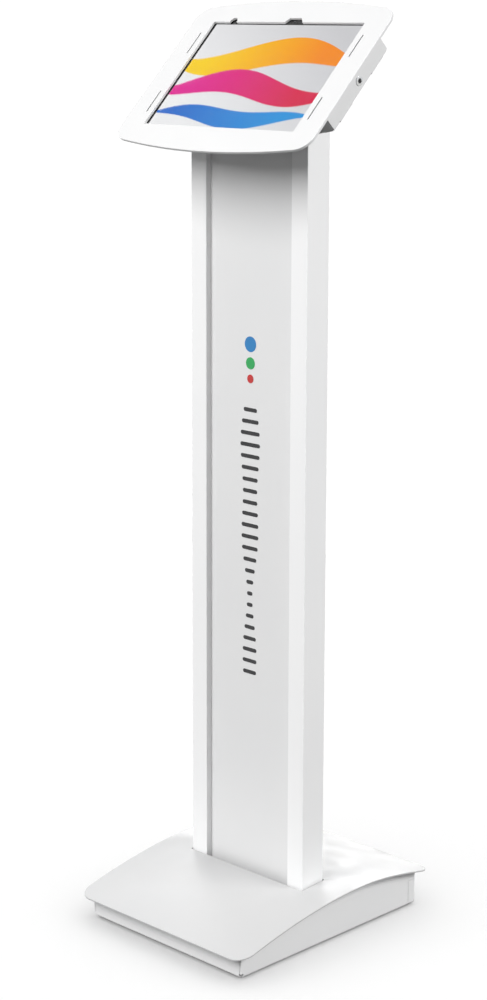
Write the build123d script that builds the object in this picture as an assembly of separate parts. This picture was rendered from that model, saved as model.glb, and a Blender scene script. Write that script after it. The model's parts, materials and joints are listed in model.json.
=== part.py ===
"""Free-standing touchscreen kiosk: a tablet locked in a tilted enclosure on a slim column.

Frame: millimetres, +X to the user's right, +Y away from the user, +Z up, origin on the floor
under the centre of the base. Pieces of the head are drawn flat in the head's own frame, whose
origin is the centre of the display window on the faceplate's front: local X is the world's X,
local Y runs up the slope and local Z points out of the screen towards the user.
"""
from build123d import *
from math import atan, cos, degrees, pi, radians, sin, sqrt
import os

# ---- base ----
base_side_margin = 31.75
base_depth = 301.0
base_sheet = 2.0
bend_radius = 2.5
foot_height = 2.0
foot_radius = 11.0
foot_inset = 18.0
cover_sheet = 2.0
cover_overhang = 14.0
cover_corner_radius = 20.0
cover_front_height = 27.0
cover_crest_height = 58.5
cover_rear_height = 42.0
cover_crest_y = 42.0
cover_front_slope = 0.27
cover_rear_slope = -0.20
cover_gap = 0.3
rib_sheet = 1.5
rib_foot = 8.0
rib_foot_gap = 1.25
rib_wall_gap = 4.5
rib_end_inset = 24.0
rib_hole_length = 34.0
rib_hole_width = 12.0
stud_length = 12.0
stud_inset = 68.0
seam_width = 0.5
relief_radius = 2.5
rear_return = 13.5
rear_return_height = 30.0
rear_lip = 3.0
ballast_thickness = 10.0
ballast_inset = 4.0
ballast_screw_inset_x = 32.0
ballast_screw_inset_y = 60.0
anchor_inset_x = 47.75
anchor_inset_y = 30.5
anchor_radius = 5.0
cable_exit_radius = 9.0
cable_exit_height = 25.0
bush_wall = 2.2

# ---- column ----
column_width = 182.0
column_depth = 35.5
column_y = 0.7
column_clearance = 1.5
post_width = 24.3
post_wall = 1.8
panel_recess = 7.9
panel_sheet = 2.0
rear_recess = 3.0
groove_depth = 4.0
groove_play = 0.15
insert_height = 60.0
insert_play = 0.2
foot_plate_thickness = 6.0
foot_plate_depth = 76.0
foot_plate_border = 4.0
foot_bolt_x = 38.0
foot_bolt_inset = 12.0
washer = 1.6
insert_tapping = 22.0
insert_bolt_offset = 9.0
head_screw_offset = 5.0
tie_count = 3
tie_slot_width = 70.0
tie_slot_height = 14.0
tie_sheet = 2.0
tie_height = 30.0
tie_front_gap = 4.6
tie_foot_gap = 110.0
tie_head_gap = 60.0
tie_screw_offset = 8.0
rear_screw_x = 50.0
cable_notch_width = 44.0
cable_notch_height = 24.0
cable_notch_radius = 6.0

# ---- plain marks on the front panel ----
vinyl = 0.25
motif_x = -3.0
motif_top = 675.0
bar_count = 24
bar_pitch = 13.6
bar_height = 4.6
bar_mean_width = 21.0
bar_swing = 15.0
bar_drop = 62.0

# ---- head ----
head_height = 992.4
head_y = -11.5
head_tilt = 45.0
plate_margin_x = 25.7
plate_margin_y = 23.75
plate_drop = 1.0
plate_bow = 12.9
plate_corner_radius = 21.0
plate_sheet = 3.0
plate_edge = 0.5
window_margin_x = 2.25
window_margin_y = 0.45
window_corner_radius = 1.2
slot_length = 32.5
slot_width = 1.8
slot_offset = 8.9
slot_y = 45.5
notch_x = 9.5
notch_base = 28.0
notch_top = 18.0
notch_depth = 6.4
sensor_x = -85.0
sensor_width = 11.5
shell_margin = 9.7
shell_side = 119.0
shell_bow = 21.0
shell_centre_y = 12.25
shell_depth = 34.0
shell_sheet = 1.5
shell_bend = 2.0
shell_front_gap = 0.6
bend_tab = 25.0
vent_x = 88.0
vent_count = 5
vent_pitch = 9.0
vent_length = 34.0
vent_width = 3.0
head_plate_thickness = 4.0
head_plate_lip = 10.0
head_plate_shoulder = 17.64
head_plate_border = 16.0
vesa_pitch = 100.0
vesa_hole_radius = 2.25
bolt_head = 2.6
cable_hole_radius = 12.0

# ---- tablet ----
tablet_width = 248.6
tablet_height = 179.5
tablet_thickness = 7.0
tablet_corner_radius = 18.0
tablet_wall = 1.0
glass_thickness = 0.8
bezel_x = 10.75
bezel_y = 10.85
display_thickness = 1.2
gasket_thickness = 0.5
glass_gap = 0.3
tablet_play = 1.5
back_pad = 1.4
edge_pad_height = 4.0
tray_opening = 96.0
button_rise = 0.5
button_thickness = 2.4
button_play = 0.15
camera_inset = 14.0
camera_radius = 3.6

# ---- lock and hinge ----
lock_y = 16.0
lock_back = 11.0
lock_radius = 4.0
plug_radius = 2.8
running_gap = 0.05
cam_play = 0.5
cam_width = 4.4
cam_sheet = 1.5
strike_sheet = 1.3
strike_length = 9.0
hinge_proud = 0.5
hinge_knuckles = 5
knuckle_radius = 2.6
pin_radius = 1.5
leaf_sheet = 1.2

# ---- screw threads, as radii ----
thread_m2 = 1.2
thread_m3 = 1.6
thread_m4 = 2.0
thread_m5 = 2.5
thread_m8 = 4.0

# ---- sizes worked out from the ones above ----
base_width = column_width + 2 * base_side_margin
plate_width = tablet_width + 2 * plate_margin_x
plate_height = tablet_height + 2 * plate_margin_y
display_width = tablet_width - 2 * bezel_x
display_height = tablet_height - 2 * bezel_y
window_width = display_width + 2 * window_margin_x
window_height = display_height + 2 * window_margin_y
slot_x = window_width / 2 + slot_offset
shell_width = tablet_width + 2 * shell_margin
lock_depth = shell_depth - lock_back
cam_reach = lock_back - shell_sheet - cam_play
cam_screw_radius = thread_m2
hinge_length = shell_side + 2 * hinge_proud
half_width = base_width / 2
half_depth = base_depth / 2
cover_edge = half_depth + cover_overhang
tray_floor = foot_height + base_sheet
ballast_top = tray_floor + ballast_thickness
foot_plate_top = ballast_top + foot_plate_thickness
column_front = column_y - column_depth / 2
column_back = column_y + column_depth / 2
post_inner = column_width / 2 - post_width
panel_front = column_front + panel_recess
rear_panel_back = column_back - rear_recess
rear_panel_front = rear_panel_back - panel_sheet
mount_plane = -shell_depth - head_plate_thickness
glass_front = -plate_sheet - gasket_thickness - glass_gap
tablet_back = glass_front - tablet_thickness
tray_level = tablet_back - back_pad
shell_front = -plate_sheet - shell_front_gap
rim_width = tablet_width + 2 * tablet_play
rim_height = tablet_height + 2 * tablet_play
shell_inner = shell_width / 2 - shell_sheet
hinge_x = -shell_width / 2 - knuckle_radius - 0.4
hinge_z = -plate_sheet - knuckle_radius - 0.3

def slope_v(y, level):
    """Place up the slope, in the head's frame, of world depth y at a given local level."""
    tilt = radians(head_tilt)
    return (y - head_y + level * sin(tilt)) / cos(tilt)


cable_hole_y = slope_v((panel_front + panel_sheet + rear_panel_front) / 2, mount_plane)
HEAD = Plane(
    origin=(0, head_y, head_height),
    x_dir=(1, 0, 0),
    z_dir=(0, -sin(radians(head_tilt)), cos(radians(head_tilt))),
)
nodes = {}


def block(x0, x1, y0, y1, z0, z1):
    """Box between two opposite corners."""
    middle = ((x0 + x1) / 2, (y0 + y1) / 2, (z0 + z1) / 2)
    return Pos(*middle) * Box(abs(x1 - x0), abs(y1 - y0), abs(z1 - z0))


def rod(radius, x, y, z0, z1):
    """Upright cylinder from z0 to z1."""
    return Pos(x, y, (z0 + z1) / 2) * Cylinder(radius, abs(z1 - z0))


def rod_x(radius, x0, x1, y, z):
    """Cylinder lying along X."""
    return Pos((x0 + x1) / 2, y, z) * Rot(0, 90, 0) * Cylinder(radius, abs(x1 - x0))


def rod_y(radius, x, y0, y1, z):
    """Cylinder lying along Y."""
    return Pos(x, (y0 + y1) / 2, z) * Rot(90, 0, 0) * Cylinder(radius, abs(y1 - y0))


def slab(face, z0, z1):
    """Flat outline drawn at z = 0, made solid between two levels."""
    return Pos(0, 0, z0) * extrude(face, amount=z1 - z0)


def hexagon(across_flats, x, y, z0, z1):
    """Six-sided nut or head blank, upright."""
    outline = RegularPolygon(across_flats / sqrt(3), 6)
    return Pos(x, y, 0) * slab(outline, z0, z1)


def corners(half_x, half_y, x=0.0, y=0.0):
    """Four points of a rectangle about (x, y)."""
    return [(x + sx * half_x, y + sy * half_y) for sx in (-1, 1) for sy in (-1, 1)]


def group(pieces):
    """Separate identical pieces kept in one node."""
    return Compound(children=list(pieces))


def on_head(shape):
    """Place a shape drawn in the head's frame."""
    return HEAD.location * shape


def cover_z(y):
    """Height of the base cover's underside at y: a low front rising to a crest and easing down."""
    if y <= cover_crest_y:
        span = cover_crest_y + cover_edge
        t = (y + cover_edge) / span
        z0, z1, m0, m1 = cover_front_height, cover_crest_height, cover_front_slope, 0.0
    else:
        span = cover_edge - cover_crest_y
        t = (y - cover_crest_y) / span
        z0, z1, m0, m1 = cover_crest_height, cover_rear_height, 0.0, cover_rear_slope
    start = (2 * t**3 - 3 * t**2 + 1) * z0 + (t**3 - 2 * t**2 + t) * span * m0
    end = (3 * t**2 - 2 * t**3) * z1 + (t**3 - t**2) * span * m1
    return start + end


def cover_curve(y0, y1, lift, x=0.0):
    """Curve of the cover's underside between y0 and y1, raised by lift."""
    steps = 12
    ys = [y0 + (y1 - y0) * i / steps for i in range(steps + 1)]
    return Spline(*[(x, y, cover_z(y) + lift) for y in ys])


def under_cover(x0, x1, y0, y1, floor, lift):
    """Solid from a level floor up to the cover's curve raised by lift."""
    top = cover_curve(y0, y1, lift, x0)
    front, back = (x0, y0, floor), (x0, y1, floor)
    edges = top + Line(top @ 1, back) + Line(back, front) + Line(front, top @ 0)
    return extrude(make_face(edges), amount=x1 - x0, dir=(1, 0, 0))


def wave_sheet(x0, x1, y0, y1, lift0, lift1):
    """Curved sheet parallel to the cover between two lifts."""
    low, high = cover_curve(y0, y1, lift0, x0), cover_curve(y0, y1, lift1, x0)
    edges = low + Line(low @ 1, high @ 1) + high + Line(high @ 0, low @ 0)
    return extrude(make_face(edges), amount=x1 - x0, dir=(1, 0, 0))


def under_cover_frame(x, y):
    """Location on the cover's underside, with local Z along its upward normal."""
    slope = (cover_z(y + 0.5) - cover_z(y - 0.5)) / 1.0
    return Pos(x, y, cover_z(y)) * Rot(degrees(atan(slope)), 0, 0)


# ---------------------------------------------------------------- base
anchors = corners(half_width - anchor_inset_x, half_depth - anchor_inset_y)
rib_x = column_width / 2 + foot_plate_border + rib_foot_gap + rib_foot
rib_flange = half_width - base_sheet - rib_wall_gap - rib_x
stud_places = corners(rib_x + rib_flange / 2 + 0.6, half_depth - stud_inset)
ballast_screws = corners(half_width - ballast_screw_inset_x, half_depth - ballast_screw_inset_y)
foot_bolts = corners(foot_bolt_x, foot_plate_depth / 2 - foot_bolt_inset, 0, column_y)
insert_inner = post_inner + groove_depth + post_wall + insert_play
insert_outer = column_width / 2 - post_wall - insert_play
post_centre = (insert_inner + insert_outer) / 2


def make_base_walls():
    """Floor and four walls of the base, whose side walls follow the cover, before they part."""
    s = base_sheet
    outer = under_cover(-half_width, half_width, -half_depth, half_depth, foot_height, -cover_gap)
    rear_edges = outer.edges().filter_by(Axis.Z).group_by(Axis.Y)[-1]
    outer = fillet(rear_edges, bend_radius)
    outer = fillet(outer.faces().sort_by(Axis.Z)[0].edges(), bend_radius)
    tray = outer - under_cover(
        s - half_width, half_width - s, s - half_depth, half_depth - s, tray_floor, cover_sheet + 3
    )
    top = cover_crest_height + cover_sheet
    seam_y = half_depth - rear_return
    slit_top = foot_height + rear_return_height
    for side in (-1, 1):
        edge = side * (half_width - s)
        seam = edge - side * seam_width
        tray -= block(edge, seam, -half_depth - 1, s - half_depth, foot_height, top)
        tray -= rod(relief_radius, side * (half_width - 1.6), 1.6 - half_depth, 0, foot_height + 4.5)
        outside = side * (half_width + 1)
        tray -= block(edge, outside, seam_y, seam_y + seam_width, foot_height + rear_lip, slit_top)
        tray -= block(edge, outside, seam_y, half_depth - s, slit_top, slit_top + seam_width)
    for x, y in anchors:
        tray -= rod(anchor_radius, x, y, 0, tray_floor + 1)
    for x, y in ballast_screws:
        tray -= rod(thread_m5 + 0.5, x, y, 0, tray_floor + 1)
        sink = base_sheet - 0.1
        tray -= Pos(x, y, foot_height + sink / 2) * Cone(5.6, thread_m5 + 0.5, sink)
    return tray - rod_y(cable_exit_radius, 0, half_depth - 2 * s, half_depth + 1, cable_exit_height)


base_walls = make_base_walls()
rear_zone = block(
    -half_width - 1, half_width + 1,
    half_depth - rear_return + seam_width, half_depth + 1,
    foot_height + rear_lip, cover_crest_height + cover_sheet + 5,
)


def make_base_tray():
    """Folded floor, front wall and side walls, with a low lip along the rear."""
    return base_walls - rear_zone


def make_base_rear_wall():
    """Rear wall whose ends wrap round the corners onto the sides, welded to the tray."""
    return base_walls & rear_zone


def make_ballast():
    """Steel slab that keeps the kiosk upright."""
    gap = base_sheet + ballast_inset
    plan = RectangleRounded(base_width - 2 * gap, base_depth - 2 * gap, 6)
    plate = slab(plan, tray_floor, ballast_top)
    plate = chamfer(plate.faces().sort_by(Axis.Z)[-1].edges(), 1.0)
    for x, y in anchors:
        plate -= rod(anchor_radius + 2, x, y, 0, ballast_top + 1)
    for x, y in ballast_screws:
        plate -= rod(thread_m5, x, y, 0, ballast_top + 1)
    for x, y in foot_bolts:
        plate -= rod(thread_m8, x, y, tray_floor - 1, ballast_top + 1)
    return plate


def make_base_cover():
    """Curved top sheet with a close slot round the column."""
    half = half_width + cover_overhang
    sheet = wave_sheet(-half, half, -cover_edge, cover_edge, 0, cover_sheet)
    plan = RectangleRounded(2 * half, 2 * cover_edge, cover_corner_radius)
    sheet &= slab(plan, 0, cover_crest_height + 20)
    gap = 2 * column_clearance
    slot = RectangleRounded(column_width + gap, column_depth + gap, 1.2)
    return sheet - Pos(0, column_y, 0) * slab(slot, 0, cover_crest_height + 20)


def make_cover_rib(side):
    """Angle rib under one side of the cover: upright web, curved top flange, foot flange."""
    y0, y1 = rib_end_inset - half_depth, half_depth - rib_end_inset
    s = rib_sheet
    web = under_cover(rib_x, rib_x + s, y0, y1, ballast_top, -cover_gap)
    flange = wave_sheet(rib_x, rib_x + rib_flange, y0, y1, -cover_gap - s, -cover_gap)
    foot = block(rib_x - rib_foot, rib_x + s, y0, y1, ballast_top, ballast_top + s)
    rib = web + flange + foot
    hole = RectangleRounded(rib_hole_width, rib_hole_length, rib_hole_width / 2 - 0.1)
    for i in (-1, 0, 1):
        y = 20 + i * (half_depth - rib_end_inset) * 0.45
        rib -= Pos(rib_x - 1, y, ballast_top + 17) * Rot(0, 90, 0) * slab(hole, 0, s + 2)
    if side < 0:
        rib = mirror(rib, Plane.YZ)
    for x, y in stud_places:
        if x * side > 0:
            rib -= under_cover_frame(x, y) * rod(thread_m4 + 0.4, 0, 0, -6, 1)
    return rib


def make_cover_studs():
    """Studs welded under the cover."""
    stud = rod(thread_m4, 0, 0, -stud_length, -0.1)
    return group(under_cover_frame(x, y) * stud for x, y in stud_places)


def make_cover_nuts():
    """Hexagon nuts on the studs, under the rib flanges."""
    top = -cover_gap - rib_sheet - 0.1
    nut = hexagon(7.0, 0, 0, top - 3.2, top) - rod(thread_m4, 0, 0, top - 4, top + 1)
    return group(under_cover_frame(x, y) * nut for x, y in stud_places)


def make_foot(x, y):
    """Round rubber foot with a softened tread edge."""
    foot = rod(foot_radius, x, y, 0, foot_height)
    return fillet(foot.edges().sort_by(Axis.Z)[0], 0.8)


def countersunk(radius, head_radius, head, length):
    """Flat-headed screw, head level with z = 0 and facing up, shank downwards."""
    screw = rod(radius, 0, 0, -length, -head) + Pos(0, 0, -head / 2) * Cone(radius, head_radius, head)
    return screw - block(-head_radius * 0.55, head_radius * 0.55, -0.5, 0.5, -head * 0.5, 1)


def pan_screw(radius, head_radius, head_height, length):
    """Round-headed hexagon-socket screw, head on z = 0 and standing up, shank downwards."""
    head = rod(head_radius, 0, 0, 0, head_height)
    head = fillet(head.edges().sort_by(Axis.Z)[-1], head_height * 0.35)
    socket = hexagon(radius * 1.5, 0, 0, head_height * 0.4, head_height + 1)
    return head + rod(radius, 0, 0, -length, 0) - socket


def make_ballast_screws():
    """Countersunk screws from under the tray into the ballast."""
    screw = Rot(180, 0, 0) * countersunk(thread_m5, 5.0, base_sheet - 0.3, ballast_thickness)
    return group(Pos(x, y, foot_height + 0.2) * screw for x, y in ballast_screws)


def make_cable_bush():
    """Flanged bush in the rear wall for the power lead."""
    r, s, z = cable_exit_radius, base_sheet, cable_exit_height
    y = half_depth
    bush = rod_y(r, 0, y - s - 2, y + 1.6, z) + rod_y(r + 2.4, 0, y, y + 1.6, z)
    bush += rod_y(r + 1.6, 0, y - s - 2, y - s, z)
    return bush - rod_y(r - bush_wall, 0, y - s - 5, y + 5, z)


nodes["base_tray"] = make_base_tray()
nodes["base_rear_wall"] = make_base_rear_wall()
nodes["ballast_plate"] = make_ballast()
nodes["base_cover"] = make_base_cover()
nodes["cover_rib_left"] = make_cover_rib(-1)
nodes["cover_rib_right"] = make_cover_rib(1)
nodes["cover_studs"] = make_cover_studs()
nodes["cover_nuts"] = make_cover_nuts()
nodes["ballast_screws"] = make_ballast_screws()
nodes["cable_bush"] = make_cable_bush()
nodes["rubber_feet"] = group(
    make_foot(x, y) for x, y in corners(half_width - foot_inset, half_depth - foot_inset))


# ---------------------------------------------------------------- column
def cut_by_head(shape, gap=0.0):
    """Trim the top of an upright piece parallel to the head's mounting face."""
    reach = 3 * shell_width
    return shape - on_head(block(-reach, reach, -reach, reach, mount_plane - gap, reach))


def post_section(side):
    """Hollow extrusion with a groove for each panel in its inner side."""
    w, d, wall = post_width, column_depth, post_wall
    x = side * (post_inner + w / 2)
    outline = Pos(x, column_y) * RectangleRounded(w, d, 1.0)
    cavity = Pos(x, column_y) * RectangleRounded(w - 2 * wall, d - 2 * wall, 0.6)
    grooves = []
    for y0 in (panel_front, rear_panel_front):
        y = y0 + panel_sheet / 2
        slot = panel_sheet + 2 * groove_play
        deep = post_inner + groove_depth / 2
        grooves.append(Pos(side * deep, y) * Rectangle(groove_depth, slot))
        keep = Rectangle(groove_depth + wall, slot + 2 * wall)
        cavity -= Pos(side * (deep + wall / 2), y) * keep
    section = outline - cavity
    for groove in grooves:
        section -= groove
    return section


def make_post(side):
    """Upright post, square at the foot and cut to the slope at the top."""
    post = slab(post_section(side), foot_plate_top, head_height + shell_width)
    for z in tie_levels:
        for dz in (-tie_screw_offset, tie_screw_offset):
            x0, x1 = side * (post_inner - 1), side * (post_inner + 3)
            post -= rod_x(thread_m3, x0, x1, tie_screw_y, z + dz)
    return cut_by_head(post)


def make_panel(y0, base, top_gap):
    """Flat panel that slides down the grooves of both posts."""
    half = post_inner + groove_depth - 0.4
    panel = block(-half, half, y0, y0 + panel_sheet, base, head_height + shell_width)
    return cut_by_head(panel, top_gap)


def make_insert(side, z0, z1):
    """Solid block filling the clear part of a post's cavity."""
    inset = post_wall + insert_play
    return block(side * insert_inner, side * insert_outer, column_front + inset, column_back - inset, z0, z1)


def slope_z(y):
    """Height of the head's mounting plane at y."""
    tilt = radians(head_tilt)
    return head_height + ((y - head_y) * sin(tilt) + mount_plane) / cos(tilt)


tie_first = foot_plate_top + tie_foot_gap
tie_last = slope_z(column_front) - tie_head_gap
tie_levels = [tie_first + (tie_last - tie_first) * i / (tie_count - 1) for i in range(tie_count)]
tie_back = rear_panel_front - 0.05
tie_front = panel_front + panel_sheet + tie_front_gap
tie_screw_y = (tie_front + tie_back) / 2
insert_bolt_ys = (column_y - insert_bolt_offset, column_y + insert_bolt_offset)
head_screw_places = [
    (side * post_centre, slope_v(column_y + dy, mount_plane))
    for side in (-1, 1)
    for dy in (-head_screw_offset, head_screw_offset)
]


def make_foot_plate():
    """Thick plate that the posts stand on, bolted down to the ballast."""
    plan = RectangleRounded(column_width + 2 * foot_plate_border, foot_plate_depth, 6)
    plate = Pos(0, column_y, 0) * slab(plan, ballast_top, foot_plate_top)
    plate = chamfer(plate.faces().sort_by(Axis.Z)[-1].edges(), 0.8)
    for x, y in foot_bolts:
        plate -= rod(thread_m8 + 0.5, x, y, ballast_top - 1, foot_plate_top + 1)
    for side in (-1, 1):
        for y in insert_bolt_ys:
            plate -= rod(thread_m5 + 0.7, side * post_centre, y, ballast_top - 1, foot_plate_top + 1)
            plate -= Pos(side * post_centre, y, ballast_top + 1.5) * Cone(6.2, thread_m5 + 0.7, 3)
    return plate


def make_foot_bolts():
    """Cap bolts that hold the foot plate to the ballast."""
    bolt = pan_screw(thread_m8, 6.5, 7.0, foot_plate_thickness + ballast_thickness - 1)
    return group(Pos(x, y, foot_plate_top + washer) * bolt for x, y in foot_bolts)


def make_foot_washers():
    """Plain washers under the foot bolts."""
    ring = rod(2 * thread_m8, 0, 0, 0, washer) - rod(thread_m8 + 0.2, 0, 0, -1, washer + 1)
    return group(Pos(x, y, foot_plate_top) * ring for x, y in foot_bolts)


def make_lower_insert(side):
    """Block in the foot of a post, tapped for the screws through the foot plate."""
    insert = make_insert(side, foot_plate_top, foot_plate_top + insert_height)
    for y in insert_bolt_ys:
        insert -= rod(thread_m5, side * post_centre, y, foot_plate_top - 1, foot_plate_top + insert_tapping)
    return insert


def make_insert_screws():
    """Countersunk screws from under the foot plate up into the post inserts."""
    length = foot_plate_thickness + insert_tapping - 4
    screw = Rot(180, 0, 0) * countersunk(thread_m5, 5.4, 2.7, length)
    places = [(side * post_centre, y) for side in (-1, 1) for y in insert_bolt_ys]
    return group(Pos(x, y, ballast_top + 0.1) * screw for x, y in places)


def make_tie_web(z):
    """Flat back of a channel tie, against the rear panel, with a slot for cables."""
    web = block(-post_inner, post_inner, tie_back - tie_sheet, tie_back,
                z - tie_height / 2, z + tie_height / 2)
    slot = RectangleRounded(tie_slot_width, tie_slot_height, tie_slot_height / 2 - 0.1)
    web -= Pos(0, tie_back + 1, z) * Rot(90, 0, 0) * slab(slot, 0, tie_sheet + 2)
    for side in (-1, 1):
        web -= rod_y(thread_m3, side * rear_screw_x, tie_back - 5, tie_back + 1, z)
    return web


def make_tie_ear(side, z):
    """Flange of a channel tie, folded forward along a post and screwed to it."""
    edge = side * post_inner
    ear = block(edge, edge - side * tie_sheet, tie_front, tie_back - tie_sheet,
                z - tie_height / 2, z + tie_height / 2)
    for dz in (-tie_screw_offset, tie_screw_offset):
        ear -= rod_x(thread_m3 + 0.5, edge + side, edge - side * 4, tie_screw_y, z + dz)
    return ear


def make_tie_screws():
    """Screws from inside the column through the tie ears into the posts."""
    offsets = (-tie_screw_offset, tie_screw_offset)
    places = [(side, z + dz) for side in (-1, 1) for z in tie_levels for dz in offsets]
    screw = pan_screw(thread_m3, 3.6, 2.2, 5.0)
    screws = []
    for side, z in places:
        turn = Rot(0, -90 * side, 0)
        screws.append(Pos(side * (post_inner - tie_sheet), tie_screw_y, z) * turn * screw)
    return group(screws)


def make_rear_screws():
    """Screws that hold the rear panel to the ties."""
    screw = Rot(-90, 0, 0) * pan_screw(thread_m3, 3.4, 2.0, 5.0)
    places = [(side * rear_screw_x, z) for side in (-1, 1) for z in tie_levels]
    return group(Pos(x, rear_panel_back, z) * screw for x, z in places)


def make_rear_panel():
    """Removable panel that closes the cable duct, with a notch at its foot for the cable."""
    panel = make_panel(rear_panel_front, foot_plate_top + 0.5, 0.5)
    notch = RectangleRounded(cable_notch_width, 2 * cable_notch_height, cable_notch_radius)
    place = Pos(0, rear_panel_back + 1, foot_plate_top + 0.5) * Rot(90, 0, 0)
    panel -= place * slab(notch, 0, panel_sheet + 2)
    for z in tie_levels:
        for side in (-1, 1):
            x = side * rear_screw_x
            panel -= rod_y(thread_m3 + 0.15, x, rear_panel_front - 1, rear_panel_back + 1, z)
    return panel


def make_upper_insert(side):
    """Block in the head of a post, cut to the slope and tapped for the head plate's screws."""
    low = slope_z(column_front) - insert_height
    insert = cut_by_head(make_insert(side, low, head_height + shell_width))
    for x, v in head_screw_places:
        if x * side > 0:
            insert -= on_head(rod(thread_m4, x, v, mount_plane - 11, mount_plane + 1))
    return insert


def pill(width, height, x, z):
    """Upright rounded patch on the front panel's face."""
    patch = RectangleRounded(width, height, min(width, height) / 2 - 0.01)
    return Pos(x, panel_front, z) * Rot(90, 0, 0) * slab(patch, 0, vinyl)


def make_motif_dot(z, radius):
    """Round vinyl dot."""
    return rod_y(radius, motif_x, panel_front - vinyl, panel_front, z)


def make_motif_bars():
    """Column of plain dark bars whose widths swing gently down the column."""
    bars = []
    for i in range(bar_count):
        turn = 2 * pi * i / (bar_count - 1)
        width = bar_mean_width + bar_swing * (0.5 * sin(turn) + 0.35 * sin(2.5 * turn))
        bars.append(pill(width, bar_height, motif_x, motif_top - bar_drop - i * bar_pitch))
    return group(bars)


nodes["foot_plate"] = make_foot_plate()
nodes["foot_bolts"] = make_foot_bolts()
nodes["foot_washers"] = make_foot_washers()
nodes["insert_screws"] = make_insert_screws()
for name, side in (("left", -1), ("right", 1)):
    nodes[f"post_{name}"] = make_post(side)
nodes["lower_inserts"] = group(make_lower_insert(side) for side in (-1, 1))
nodes["upper_inserts"] = group(make_upper_insert(side) for side in (-1, 1))
nodes["front_panel"] = make_panel(panel_front, foot_plate_top + 0.5, bolt_head + 0.5)
nodes["rear_panel"] = make_rear_panel()
nodes["rear_panel_screws"] = make_rear_screws()
nodes["tie_webs"] = group(make_tie_web(z) for z in tie_levels)
nodes["tie_ears"] = group(make_tie_ear(side, z) for side in (-1, 1) for z in tie_levels)
nodes["tie_screws"] = make_tie_screws()
nodes["motif_dot_blue"] = make_motif_dot(motif_top + 14, 9.0)
nodes["motif_dot_green"] = make_motif_dot(motif_top - 8, 7.0)
nodes["motif_dot_red"] = make_motif_dot(motif_top - 26, 5.0)
nodes["motif_bars"] = make_motif_bars()


# ---------------------------------------------------------------- head mount and rear shell
def bowed_outline(width, side, bow, inset=0.0):
    """Outline with straight sides and bowed top and bottom edges, set in by inset."""
    x, y, crown = width / 2 - inset, side / 2 - inset, side / 2 + bow - inset
    top = ThreePointArc((x, y), (0, crown), (-x, y))
    bottom = ThreePointArc((-x, -y), (0, -crown), (x, -y))
    return make_face(top + Line((-x, y), (-x, -y)) + bottom + Line((x, -y), (x, y)))


vesa_holes = corners(vesa_pitch / 2, vesa_pitch / 2, 0, shell_centre_y)


def make_head_plate():
    """Sloping plate on the column's top, with stiffening lips and the 100 mm square hole pattern."""
    pattern_low = shell_centre_y - vesa_pitch / 2
    low = min(slope_v(column_front, -shell_depth), pattern_low - vesa_hole_radius - 1.8)
    top = shell_centre_y + vesa_pitch / 2 + head_plate_border - 2
    wide, narrow = column_width / 2, vesa_pitch / 2 + head_plate_border
    step = slope_v(column_back, mount_plane) + head_plate_shoulder
    plan = make_face(Polyline((-wide, low), (wide, low), (wide, step), (narrow, step + 14),
                              (narrow, top), (-narrow, top), (-narrow, step + 14), (-wide, step),
                              close=True))
    plan = fillet(plan.vertices(), 4)
    plate = slab(plan, mount_plane, mount_plane + head_plate_thickness)
    for side in (-1, 1):
        plate += block(side * narrow, side * (narrow - 3), step + 18, top - 4,
                       mount_plane - head_plate_lip, mount_plane)
    for x, y in vesa_holes:
        plate -= rod(vesa_hole_radius, x, y, mount_plane - 1, -shell_depth + 1)
    for x, v in head_screw_places:
        plate -= rod(thread_m4 + 0.3, x, v, mount_plane - 1, -shell_depth + 1)
        plate -= Pos(x, v, -shell_depth - 1.1) * Cone(thread_m4 + 0.3, 4.7, 2.4)
    return plate - rod(cable_hole_radius, 0, cable_hole_y, mount_plane - 1, -shell_depth + 1)


def make_head_screws():
    """Countersunk screws that hold the head plate to the upper inserts."""
    screw = countersunk(thread_m4, 4.2, 2.2, head_plate_thickness + 10)
    return group(on_head(Pos(x, v, -shell_depth - 0.1) * screw) for x, v in head_screw_places)


def make_vesa_bolts():
    """Bolts from behind the head plate into the shell."""
    length = head_plate_thickness + shell_sheet + 3.0
    bolt = Rot(180, 0, 0) * pan_screw(thread_m4, 3.8, bolt_head, length)
    return group(on_head(Pos(x, y, mount_plane) * bolt) for x, y in vesa_holes)


def make_vesa_nuts():
    """Clinch nuts inside the shell."""
    z = -shell_depth + shell_sheet
    nut = hexagon(7.5, 0, 0, z, z + 2.8) - rod(thread_m4, 0, 0, z - 1, z + 4)
    return group(on_head(Pos(x, y) * nut) for x, y in vesa_holes)


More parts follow.
